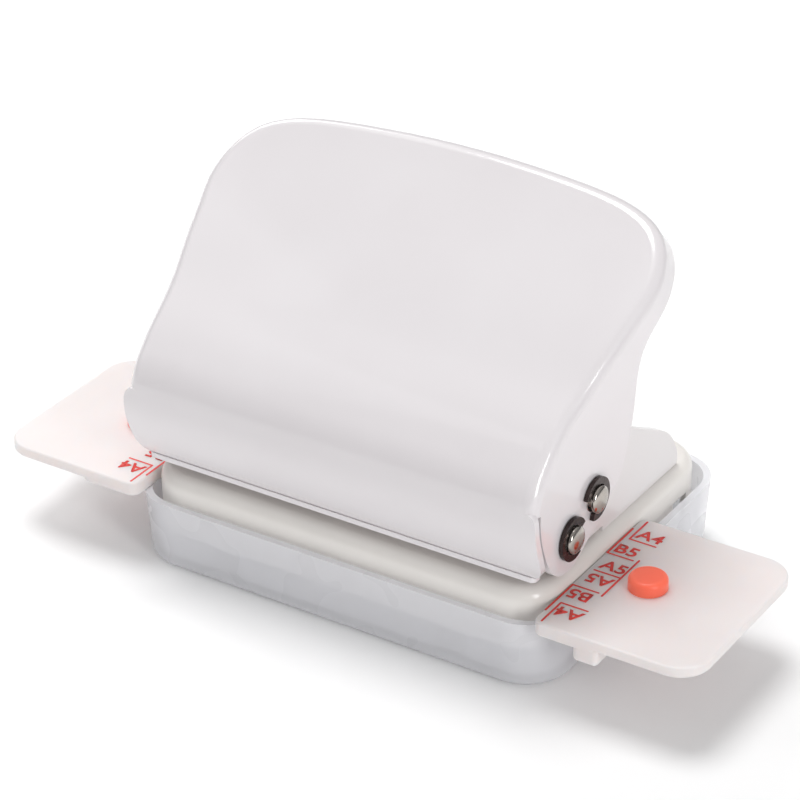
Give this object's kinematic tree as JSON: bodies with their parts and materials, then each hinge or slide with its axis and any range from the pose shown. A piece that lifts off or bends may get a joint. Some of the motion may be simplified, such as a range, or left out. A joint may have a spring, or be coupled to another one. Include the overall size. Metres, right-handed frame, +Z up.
{
  "type": "three hole punch",
  "caption": "Compact desk punch for loose-leaf sheets: pressed steel lever on two axles, sliding sheet-locating plates with pegs, and a translucent chip tray that pulls off below.",
  "frame": {"origin": "underside of the chip tray, on the centre plane, straight below the middle punch pin", "axes": "+X to the right seen from the front, +Y to the rear away from the user, +Z up"},
  "size_m": [0.1292, 0.0589, 0.0665],
  "materials": {
    "white_paint": "satin powder coat, white with a faint lavender cast",
    "base_paint": "satin creamy white paint",
    "tray_frosted": "frosted translucent polypropylene",
    "plate_plastic": "milky moulded plastic",
    "accent_red": "orange-red moulded plastic, and the red print on the plates",
    "axle_nickel": "nickel plated turned steel",
    "clip_black": "black phosphated spring steel",
    "pin_steel": "ground steel",
    "spring_steel": "drawn spring wire",
    "die_steel": "zinc plated steel strip",
    "rivet_steel": "bright rivet steel"
  },
  "bodies": {
    "base": {"base_plate": "base_paint", "die_plate": "die_steel", "die_rivets": "rivet_steel", "punch_frame": "white_paint", "frame_rivets": "rivet_steel", "paper_stop": "die_steel", "stop_rivets": "rivet_steel", "pivot_axle": "axle_nickel", "pivot_clips": "clip_black", "pin_spring_left": "spring_steel", "pin_spring_centre": "spring_steel", "pin_spring_right": "spring_steel"},
    "lever": {"handle_shell": "white_paint", "pusher_axle": "axle_nickel", "pusher_clips": "clip_black"},
    "pin_left": {"punch_pin_left": "pin_steel"},
    "pin_centre": {"punch_pin_centre": "pin_steel"},
    "pin_right": {"punch_pin_right": "pin_steel"},
    "plate_left": {"guide_plate_left": "plate_plastic", "locating_post_left": "accent_red"},
    "plate_right": {"guide_plate_right": "plate_plastic", "locating_post_right": "accent_red"},
    "tray": {"chip_tray": "tray_frosted"}
  },
  "joints": [
    {"name": "lever_hinge", "type": "hinge", "parent": "base", "child": "lever", "pos_m": [0, -0.00623, 0.02312], "axis": [-1, 0, 0], "range_deg": [0, 30], "stiffness_Nm_per_rad": 0.08, "springref_deg": -20.05},
    {"name": "pin_left_slide", "type": "slide", "parent": "base", "child": "pin_left", "axis": [0, 0, -1], "range_m": [0, 0.00405], "deforming": ["pin_spring_left"]},
    {"name": "pin_centre_slide", "type": "slide", "parent": "base", "child": "pin_centre", "axis": [0, 0, -1], "range_m": [0, 0.00405], "deforming": ["pin_spring_centre"]},
    {"name": "pin_right_slide", "type": "slide", "parent": "base", "child": "pin_right", "axis": [0, 0, -1], "range_m": [0, 0.00405], "deforming": ["pin_spring_right"]},
    {"name": "plate_right_slide", "type": "slide", "parent": "base", "child": "plate_right", "axis": [1, 0, 0], "range_m": [0, 0.006]},
    {"name": "plate_left_slide", "type": "slide", "parent": "base", "child": "plate_left", "axis": [-1, 0, 0], "range_m": [0, 0.006]},
    {"name": "tray_slide", "type": "slide", "parent": "base", "child": "tray", "axis": [0, 0, -1], "range_m": [0, 0.01]}
  ],
  "couplings": [
    {"joint": "pin_left_slide", "follows": "lever_hinge", "m_per_rad": 0.00762},
    {"joint": "pin_centre_slide", "follows": "lever_hinge", "m_per_rad": 0.00762},
    {"joint": "pin_right_slide", "follows": "lever_hinge", "m_per_rad": 0.00762}
  ]
}
